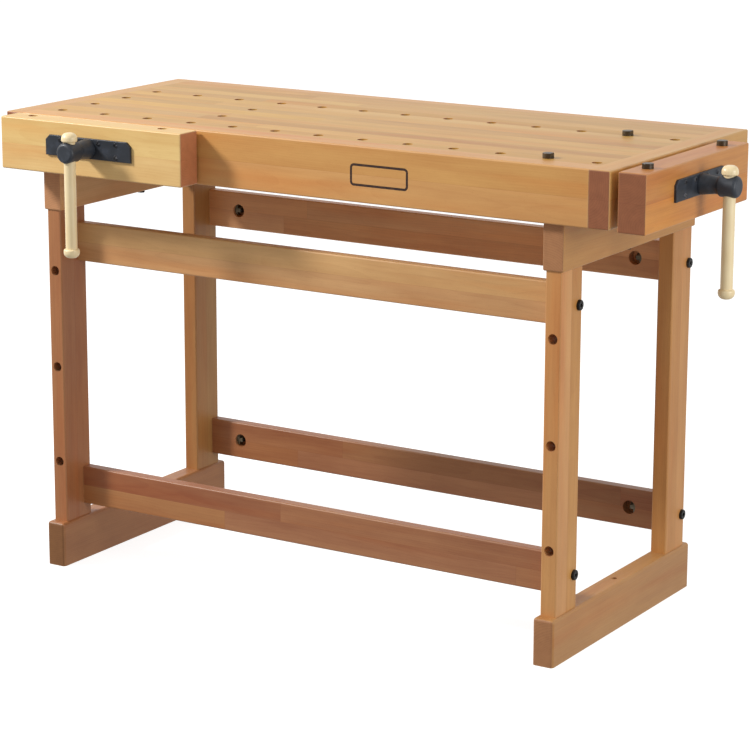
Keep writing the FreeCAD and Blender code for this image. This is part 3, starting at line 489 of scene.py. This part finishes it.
def set_out(graph, mesh, given):
    """Puts the mesh at every place, its z axis turned to the place's own facing."""
    facing = graph.add("GeometryNodeInputNamedAttribute", {"Name": "facing"}, data_type="FLOAT_VECTOR")[0]
    turn = graph.add("FunctionNodeAlignRotationToVector", {"Vector": facing}, axis="Z")[0]
    placed = graph.add("GeometryNodeInstanceOnPoints", {"Points": given["Geometry"], "Instance": mesh,
                                                        "Rotation": turn})[0]
    return finish_tree(graph, placed, given)


def socket_bolt_tree():
    """Round heads with a hexagon socket, and plain shanks below z = 0."""
    head_sides, shank_sides, head_taper = 40, 24, 0.93
    sizes = ["Head diameter", "Head height", "Socket width", "Socket depth", "Shank diameter",
             "Shank length"]
    g, given = new_shape_tree("Socket bolts", sizes)
    head_radius = g.half(given["Head diameter"])
    face_radius = g.math("MULTIPLY", head_radius, head_taper)
    head = drum(g, head_sides, head_radius, face_radius, given["Head height"])
    socket_base = g.math("SUBTRACT", given["Head height"], given["Socket depth"])
    socket_radius = g.math("DIVIDE", given["Socket width"], HEXAGON_CORNER)
    socket = drum(g, HEXAGON, socket_radius, socket_radius, given["Head height"], socket_base)
    return set_out(g, joined(g, cut(g, head, [socket]), shank_below(g, given, shank_sides)), given)


def cross_screw_tree():
    """Low round heads with a cross recess, and shanks below z = 0."""
    head_sides, shank_sides, head_taper, recess_middle = 28, 16, 0.72, 0.9
    sizes = ["Head diameter", "Head height", "Recess width", "Recess length", "Shank diameter",
             "Shank length"]
    g, given = new_shape_tree("Cross screws", sizes)
    head_radius = g.half(given["Head diameter"])
    face_radius = g.math("MULTIPLY", head_radius, head_taper)
    head = drum(g, head_sides, head_radius, face_radius, given["Head height"])
    slots = []
    for x, y in (("Recess length", "Recess width"), ("Recess width", "Recess length")):
        slot = g.add("GeometryNodeMeshCube", {"Size": g.join(given[x], given[y], given["Head height"])})[0]
        lift = g.join(0.0, 0.0, g.math("MULTIPLY", given["Head height"], recess_middle))
        slots.append(moved(g, slot, lift))
    return set_out(g, joined(g, cut(g, head, slots), shank_below(g, given, shank_sides)), given)


def hexagon_bolt_tree():
    """Hexagon heads on a round bearing face, and shanks below z = 0."""
    bearing_sides, shank_sides, bearing_height, bearing_width = 32, 20, 0.12, 0.48
    sizes = ["Head width", "Head height", "Shank diameter", "Shank length"]
    g, given = new_shape_tree("Hexagon bolts", sizes)
    corner = g.math("DIVIDE", given["Head width"], HEXAGON_CORNER)
    face = g.math("MULTIPLY", given["Head height"], bearing_height)
    face_radius = g.math("MULTIPLY", given["Head width"], bearing_width)
    bearing = drum(g, bearing_sides, face_radius, face_radius, face)
    head = drum(g, HEXAGON, corner, corner, g.math("SUBTRACT", given["Head height"], face), face)
    return set_out(g, joined(g, bearing, head, shank_below(g, given, shank_sides)), given)


def vise_screw_tree():
    """A plain shank from z = 0, then a core with one trapezoid thread wound round it to the end."""
    sides, steps_per_turn = 48, 32
    root_share, crest_share = 0.62, 0.36  # the thread's widths at its root and its crest, over the pitch
    sizes = ["Shank length", "Thread length", "Outer diameter", "Thread depth", "Pitch"]
    g, given = new_shape_tree("Vise screw", sizes)
    outer = g.half(given["Outer diameter"])
    core = g.math("SUBTRACT", outer, given["Thread depth"])
    shank = drum(g, sides, outer, outer, given["Shank length"])
    core_bar = drum(g, sides, core, core, given["Thread length"], given["Shank length"])
    wind = g.math("SUBTRACT", outer, g.half(given["Thread depth"]))
    run = g.math("SUBTRACT", given["Thread length"], given["Pitch"])
    turns = g.math("DIVIDE", run, given["Pitch"])
    helix = g.add("GeometryNodeCurveSpiral", {"Resolution": steps_per_turn, "Rotations": turns,
                                              "Start Radius": wind, "End Radius": wind, "Height": run})[0]
    helix = g.add("GeometryNodeSetCurveNormal", {"Curve": helix}, mode="Z_UP")[0]
    profile = g.add("GeometryNodeCurvePrimitiveQuadrilateral",
                    {"Height": given["Thread depth"], "Offset": 0.0,
                     "Bottom Width": g.math("MULTIPLY", given["Pitch"], root_share),
                     "Top Width": g.math("MULTIPLY", given["Pitch"], crest_share)}, mode="TRAPEZOID")[0]
    thread = g.add("GeometryNodeCurveToMesh", {"Curve": helix, "Profile Curve": profile,
                                               "Fill Caps": True})[0]
    lift = g.join(0.0, 0.0, g.math("ADD", given["Shank length"], g.half(given["Pitch"])))
    return finish_tree(g, joined(g, shank, core_bar, moved(g, thread, lift)), given)


def grow(name, tree, sizes, material, spots, soften=0.0):
    """Runs a tree on the spots, each a place and its facing, and keeps the result as a plain mesh."""
    mesh = bpy.data.meshes.new(name)
    mesh.from_pydata([tuple(place) for place, facing in spots], [], [])
    attribute = mesh.attributes.new("facing", "FLOAT_VECTOR", "POINT")
    attribute.data.foreach_set("vector", [part for place, facing in spots for part in facing])
    piece = new_object(name, mesh)
    modifier = piece.modifiers.new("Shape", "NODES")
    modifier.node_group = tree
    for item in tree.interface.items_tree:
        if item.in_out == "INPUT" and item.name in sizes:
            modifier[item.identifier] = float(sizes[item.name])
        elif item.in_out == "INPUT" and item.name == "Material":
            modifier[item.identifier] = material
    if soften:
        bevel = piece.modifiers.new("Soften", "BEVEL")
        bevel.width = soften
        bevel.segments = 2
        bevel.limit_method = "ANGLE"
        bevel.angle_limit = BEVEL_ANGLE
    evaluated = piece.evaluated_get(bpy.context.evaluated_depsgraph_get())
    result = bpy.data.meshes.new_from_object(evaluated)
    piece.modifiers.clear()
    piece.data = result
    result.name = name
    left_over = result.attributes.get("facing")
    if left_over:
        result.attributes.remove(left_over)
    return piece


def smooth_round(piece):
    """Smooth shading, kept sharp where faces meet at more than the sharp angle."""
    for face in piece.data.polygons:
        face.use_smooth = True
    work = bmesh.new()
    work.from_mesh(piece.data)
    for edge in work.edges:
        if len(edge.link_faces) == 2 and edge.calc_face_angle() > SHARP_ANGLE:
            edge.smooth = False
    work.to_mesh(piece.data)
    work.free()


def stand_in(piece, node, body):
    """Smooths a piece and puts it in the place of a CAD node, on the body that it rides."""
    smooth_round(piece)
    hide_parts(node)
    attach(piece, body)


SOCKET_BOLTS = socket_bolt_tree()
CROSS_SCREWS = cross_screw_tree()
HEXAGON_BOLTS = hexagon_bolt_tree()
VISE_SCREW = vise_screw_tree()


# ---------------------------------------------------------------- bolts of the rails and the top

RAIL_NAMES = [f"{level}_{side}_rail" for level in ("upper", "lower") for side in ("front", "rear")]
RAIL_BOLT = {"Head diameter": 20 * MM, "Head height": 5 * MM, "Socket width": 6 * MM,
             "Socket depth": 3.4 * MM, "Shank diameter": 8 * MM}
RAIL_BOLT_REACH = 77 * MM  # how far a rail bolt runs on into its rail, past the leg
TOP_BOLT = {"Head width": 13 * MM, "Head height": 5.3 * MM, "Shank diameter": 8 * MM}


def middle(node):
    low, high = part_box(node)
    return (low + high) / 2


def make_rail_bolts():
    low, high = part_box("rail_bolts")
    head_height = RAIL_BOLT["Head height"]
    spots = []
    for rail in RAIL_NAMES:
        centre = middle(rail)
        for x, way in ((low.x + head_height, -1.0), (high.x - head_height, 1.0)):
            spots.append(((x, centre.y, centre.z), (way, 0.0, 0.0)))
    leg_low, leg_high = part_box("left_front_leg")
    sizes = {**RAIL_BOLT, "Shank length": leg_high.x - leg_low.x + RAIL_BOLT_REACH}
    piece = grow("rail_bolt_set", SOCKET_BOLTS, sizes, BOLT_BLACK, spots, soften=0.8 * MM)
    stand_in(piece, "rail_bolts", "bench")


def make_top_bolts():
    low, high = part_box("top_bolts")
    head_height = TOP_BOLT["Head height"]
    spots = [((middle(side + "_bearer").x, (low.y + high.y) / 2, low.z + head_height), DOWN)
             for side in ("left", "right")]
    sizes = {**TOP_BOLT, "Shank length": high.z - low.z - head_height}
    piece = grow("top_bolt_set", HEXAGON_BOLTS, sizes, BOLT_BLACK, spots, soften=0.5 * MM)
    stand_in(piece, "top_bolts", "bench")


# ---------------------------------------------------------------- screws of the two vises

# the way that each vise's jaw opens, and the way that runs along the jaw
OPENING = {"front": Vector((0.0, -1.0, 0.0)), "end": Vector((1.0, 0.0, 0.0))}
ALONG_JAW = {"front": Vector((1.0, 0.0, 0.0)), "end": Vector((0.0, 1.0, 0.0))}

# where the small screws sit: millimetres along the jaw and up from the axis of the vise's screw
PLATE_SCREW_PLACES = [(-65, 11.5), (65, 11.5), (-65, -11.5), (65, -11.5), (-25, 11.5), (25, 11.5)]
GUIDE_SCREW_PLACES = [(-44, 9), (44, 9), (-44, -9), (44, -9)]

PLATE_SCREW = {"Head diameter": 9 * MM, "Head height": 2 * MM, "Recess width": 1.1 * MM,
               "Recess length": 5 * MM, "Shank diameter": 4.4 * MM, "Shank length": 34 * MM}
GUIDE_SCREW = {"Head width": 12 * MM, "Head height": 5 * MM, "Shank diameter": 6 * MM,
               "Shank length": 40 * MM}
VISE_THREAD = {"Outer diameter": 21.8 * MM, "Thread depth": 2.2 * MM, "Pitch": 5 * MM}
THREAD_GAP = 2 * MM  # how far behind its jaw a vise's thread starts


def reach(node, way):
    """How far the node reaches along a way, from the frame's origin."""
    low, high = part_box(node)
    return max(low.dot(way), high.dot(way))


def on_axis(vise, distance):
    """The point of a vise's screw axis at that distance along the way its jaw opens."""
    centre = middle(f"{vise}_vise_screw")
    return centre + OPENING[vise] * (distance - centre.dot(OPENING[vise]))


def screw_spots(vise, centre, places, facing):
    return [(centre + ALONG_JAW[vise] * (x * MM) + UP * (z * MM), facing) for x, z in places]


def make_plate_screws(vise):
    out = OPENING[vise]
    plate_face = on_axis(vise, reach(f"{vise}_face_plate", out))
    spots = screw_spots(vise, plate_face, PLATE_SCREW_PLACES, out)
    screws = grow(f"{vise}_plate_screw_set", CROSS_SCREWS, PLATE_SCREW, SCREW_GREY, spots,
                  soften=0.2 * MM)
    stand_in(screws, f"{vise}_plate_screws", f"{vise}_jaw")


def make_guide_screws(vise):
    inward = -OPENING[vise]
    seat = on_axis(vise, GUIDE_SCREW["Head height"] - reach(f"{vise}_guide_screws", inward))
    spots = screw_spots(vise, seat, GUIDE_SCREW_PLACES, inward)
    screws = grow(f"{vise}_guide_screw_set", HEXAGON_BOLTS, GUIDE_SCREW, SCREW_GREY, spots,
                  soften=0.4 * MM)
    stand_in(screws, f"{vise}_guide_screws", "bench")


def make_vise_screw(vise):
    """The threaded screw, wound along z and then laid on the vise's axis."""
    out = OPENING[vise]
    node = f"{vise}_vise_screw"
    start, end = reach(node, out), -reach(node, -out)
    thread_start = -reach(f"{vise}_jaw", -out) - THREAD_GAP
    sizes = {**VISE_THREAD, "Shank length": start - thread_start, "Thread length": thread_start - end}
    piece = grow(f"{vise}_threaded_screw", VISE_SCREW, sizes, ROD_STEEL, [(ORIGIN, UP)])
    turn = UP.rotation_difference(-out).to_matrix().to_4x4()
    piece.data.transform(Matrix.Translation(on_axis(vise, start)) @ turn)
    stand_in(piece, node, f"{vise}_screw")


# ---------------------------------------------------------------- the bare printed frame on the apron

FRAME_LEFT, FRAME_RIGHT = 62.4 * MM, 183.2 * MM
FRAME_LOW, FRAME_HIGH = 828 * MM, 868.5 * MM
FRAME_LINE = 4.4 * MM
FRAME_CORNER = 8 * MM
CORNER_STEPS = 8
INK_PROUD, INK_SUNK = 0.1 * MM, 0.02 * MM


def rounded_outline(inset):
    """Points round the frame with its round corners, so far inside its outer edge, in the x-z plane."""
    left, right = FRAME_LEFT + inset, FRAME_RIGHT - inset
    low, high = FRAME_LOW + inset, FRAME_HIGH - inset
    corner = FRAME_CORNER - inset
    points = []
    centres = [(right - corner, high - corner), (left + corner, high - corner),
               (left + corner, low + corner), (right - corner, low + corner)]
    for quarter, (x, z) in enumerate(centres):
        for step in range(CORNER_STEPS + 1):
            angle = math.radians(90 * (quarter + step / CORNER_STEPS))
            points.append((x + corner * math.cos(angle), z + corner * math.sin(angle)))
    return points


def make_printed_frame():
    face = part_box("front_apron")[0].y
    outer, inner = rounded_outline(0.0), rounded_outline(FRAME_LINE)
    front, back = face - INK_PROUD, face + INK_SUNK
    work = bmesh.new()
    rings = [[work.verts.new((x, y, z)) for x, z in points]
             for points, y in ((outer, back), (outer, front), (inner, front), (inner, back))]
    count = len(outer)
    for first, second in zip(rings, rings[1:] + rings[:1]):
        for i in range(count):
            k = (i + 1) % count
            work.faces.new((first[i], first[k], second[k], second[i]))
    bmesh.ops.recalc_face_normals(work, faces=work.faces)
    piece = new_object("printed_frame", mesh_from(work, "printed_frame"))
    piece.data.materials.append(INK)
    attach(piece, "bench")


# ---------------------------------------------------------------- finishes of the CAD nodes

# node, wood, grain, staves across, stave length, contrast between staves, how light the piece is (on the
# left bearer and the rear rails this paints in light or shade), its seed
TIMBER_NODES = [
    ("worktop_slab", "top", "xyz", 12, 900 * MM, 0.6, 0.98, 47),
    ("front_apron", "apron", "xzy", 2, WHOLE, 0.3, 1.0, 13),
    ("rear_apron", "apron", "xzy", 2, WHOLE, 0.3, 0.95, 21),
    ("left_end_batten", "batten", "yzx", 2, WHOLE, 0.3, 1.0, 34),
    ("right_end_batten", "batten", "yzx", 2, WHOLE, 0.3, 1.0, 45),
    ("left_cross_rib", "rail", "yzx", 1, WHOLE, 0.3, 0.8, 51),
    ("right_cross_rib", "rail", "yzx", 1, WHOLE, 0.3, 0.8, 52),
    ("front_jaw", "jaw", "xzy", 2, WHOLE, 0.35, 1.0, 66),
    ("end_jaw", "end jaw", "yzx", 2, WHOLE, 0.4, 1.0, 73),
    # painted light: the left bearer is made paler and lighter against the shade of the jaw and top above it
    ("left_bearer", "pale rail", "yxz", 1, WHOLE, 0.3, 1.15, 81),
    ("left_foot", "red foot", "yxz", 1, WHOLE, 0.3, 0.72, 92),
    ("left_front_leg", "red rail", "zyx", 2, WHOLE, 0.3, 0.74, 104),
    ("left_rear_leg", "frame", "zyx", 2, WHOLE, 0.3, 0.68, 115),
    ("right_bearer", "frame", "yxz", 1, WHOLE, 0.3, 0.85, 121),
    ("right_foot", "frame", "yxz", 1, WHOLE, 0.3, 0.8, 132),
    ("right_front_leg", "frame", "zyx", 2, WHOLE, 0.35, 1.0, 141),
    ("right_rear_leg", "frame", "zyx", 2, WHOLE, 0.35, 0.94, 155),
    ("upper_front_rail", "pale rail", "xzy", 2, WHOLE, 0.5, 1.02, 168),
    ("lower_front_rail", "red rail", "xzy", 2, 640 * MM, 0.3, 0.73, 172),
    # painted light: lightened against the shade under the top, though the rails are all one wood
    ("upper_rear_rail", "rail", "xzy", 2, 640 * MM, 0.3, 1.25, 186),
    # painted shade: darkened for the shade under the top
    ("lower_rear_rail", "red rail", "xzy", 2, 640 * MM, 0.25, 0.65, 191),
]

# the hardware that keeps its CAD shape
HARDWARE = {
    "rail_washers": NUT_GREY, "rail_nuts": NUT_GREY, "top_washers": BOLT_BLACK,
    "front_left_dog": DOG_BLACK, "rear_left_dog": DOG_BLACK, "front_right_dog": DOG_BLACK,
    "rear_right_dog": DOG_BLACK, "rail_dowels": BIRCH,
}
VISE_HARDWARE = {
    "face_plate": PLATE_BLACK, "vise_hub": HUB_BLACK, "guide_rods": ROD_STEEL, "screw_collar": ROD_STEEL,
    "guide_yoke": GUIDE_IRON, "guide_block": GUIDE_IRON, "handle_bar": BIRCH, "handle_upper_knob": BIRCH,
    "handle_lower_knob": BIRCH,
}


def give_finish(node, material):
    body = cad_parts[node]
    if not body.material_slots:
        body.data.materials.append(material)
    for slot in body.material_slots:
        slot.material = material


def finish_nodes():
    for node, *look in TIMBER_NODES:
        give_finish(node, timber_finish(node, *look))
    for node, material in HARDWARE.items():
        give_finish(node, material)
    for vise in OPENING:
        for part, material in VISE_HARDWARE.items():
            give_finish(f"{vise}_{part}", material)


# ---------------------------------------------------------------- stage, light and camera

CAMERA_PLACE = (2.6043, -4.2112, 1.6465)
CAMERA_YAW, CAMERA_PITCH, CAMERA_ROLL = 31.901, 12.879, 0.159
CAMERA_LENS, CAMERA_SENSOR = 129.27, 36.0
CAMERA_SHIFT = -0.06
CAMERA_REACH = 100.0

# the key lamp: the way its light travels, the corner that it is aimed at, how far off, how wide, how strong
KEY_WAY = Vector((0.683, 0.469, -0.56))
KEY_TARGET = Vector((-0.267, -0.27, 0.88))
KEY_DISTANCE, KEY_WIDTH, KEY_POWER = 4.5, 0.75, 208.0
# a wide soft box at the bench's right end
SIDE_PLACE, SIDE_TARGET = Vector((3.7, -0.5, 1.3)), Vector((0.5, -0.05, 0.6))
SIDE_WIDTH, SIDE_POWER = 1.6, 52.0
# the room: its light from above and below, and the pale wall behind the bench
SKY_ABOVE, SKY_BELOW, HORIZON = 0.5, 0.36, 0.2
WALL_WAY, WALL_RANGE, WALL_LIGHT = (-0.53, 0.85, 0.0), (0.1, 0.8), 0.4
# the white floor and dome: how strongly each glows, and how much light it throws back
ROOM_RADIUS = 30.0
FLOOR_GLOW, FLOOR_ALBEDO = 0.85, 0.4
DOME_GLOW, DOME_ALBEDO = 1.2, 0.0
WHITE = (1.0, 1.0, 1.0, 1.0)


def make_camera():
    data = bpy.data.cameras.new("camera")
    data.lens = CAMERA_LENS
    data.sensor_width = CAMERA_SENSOR
    data.shift_y = CAMERA_SHIFT
    data.clip_end = CAMERA_REACH
    camera = new_object("camera", data)
    turn = (Matrix.Rotation(math.radians(CAMERA_YAW), 4, "Z")
            @ Matrix.Rotation(math.radians(90 - CAMERA_PITCH), 4, "X")
            @ Matrix.Rotation(math.radians(CAMERA_ROLL), 4, "Z"))
    camera.matrix_world = Matrix.Translation(CAMERA_PLACE) @ turn
    bpy.context.scene.camera = camera


def white_stage(name, work, glow, albedo):
    """A white sheet of the room that the camera sees and that throws no light back on the bench."""
    sheet = new_object(name, mesh_from(work, name))
    values = {"Base Color": (albedo, albedo, albedo, 1.0), "Roughness": 0.9, "Specular IOR Level": 0.0,
              "Emission Color": WHITE, "Emission Strength": glow}
    material = new_finish(name + "_white", values)[2]
    sheet.data.materials.append(material)
    sheet.visible_diffuse = sheet.visible_glossy = sheet.visible_shadow = False


def make_room():
    """A plain white floor and a white dome over it."""
    work = bmesh.new()
    bmesh.ops.create_circle(work, cap_ends=True, segments=64, radius=ROOM_RADIUS)
    white_stage("floor", work, FLOOR_GLOW, FLOOR_ALBEDO)
    work = bmesh.new()
    bmesh.ops.create_uvsphere(work, u_segments=64, v_segments=32, radius=ROOM_RADIUS)
    white_stage("dome", work, DOME_GLOW, DOME_ALBEDO)


def place_lamp(name, place, target, width, power):
    data = bpy.data.lights.new(name, "AREA")
    data.energy = power
    data.size = width
    lamp = new_object(name, data)
    turn = DOWN.rotation_difference(target - place).to_matrix().to_4x4()
    lamp.matrix_world = Matrix.Translation(place) @ turn


def make_light():
    """The key lamp from the upper left front, a soft box at the right, and the light of the room."""
    place_lamp("key", KEY_TARGET - KEY_WAY * KEY_DISTANCE, KEY_TARGET, KEY_WIDTH, KEY_POWER)
    place_lamp("side", SIDE_PLACE, SIDE_TARGET, SIDE_WIDTH, SIDE_POWER)
    world = bpy.data.worlds.new("room_light")
    world.use_nodes = True
    g = Graph(world.node_tree)
    way = g.add("ShaderNodeTexCoord")["Generated"]
    sky = g.between(g.split(way)[2], -HORIZON, HORIZON, SKY_BELOW, SKY_ABOVE)
    to_wall = g.add("ShaderNodeVectorMath", {0: way, 1: WALL_WAY}, operation="DOT_PRODUCT")["Value"]
    wall = g.between(to_wall, *WALL_RANGE, 0.0, WALL_LIGHT)
    background = world.node_tree.nodes["Background"]
    g.fill(background.inputs, {"Color": WHITE, "Strength": g.math("ADD", sky, wall)})
    bpy.context.scene.world = world
    bpy.context.scene.view_settings.view_transform = "Standard"


# ---------------------------------------------------------------- the whole scene

make_camera()
make_room()
make_light()
make_rail_bolts()
make_top_bolts()
for vise_name in OPENING:
    make_plate_screws(vise_name)
    make_guide_screws(vise_name)
    make_vise_screw(vise_name)
make_printed_frame()
finish_nodes()
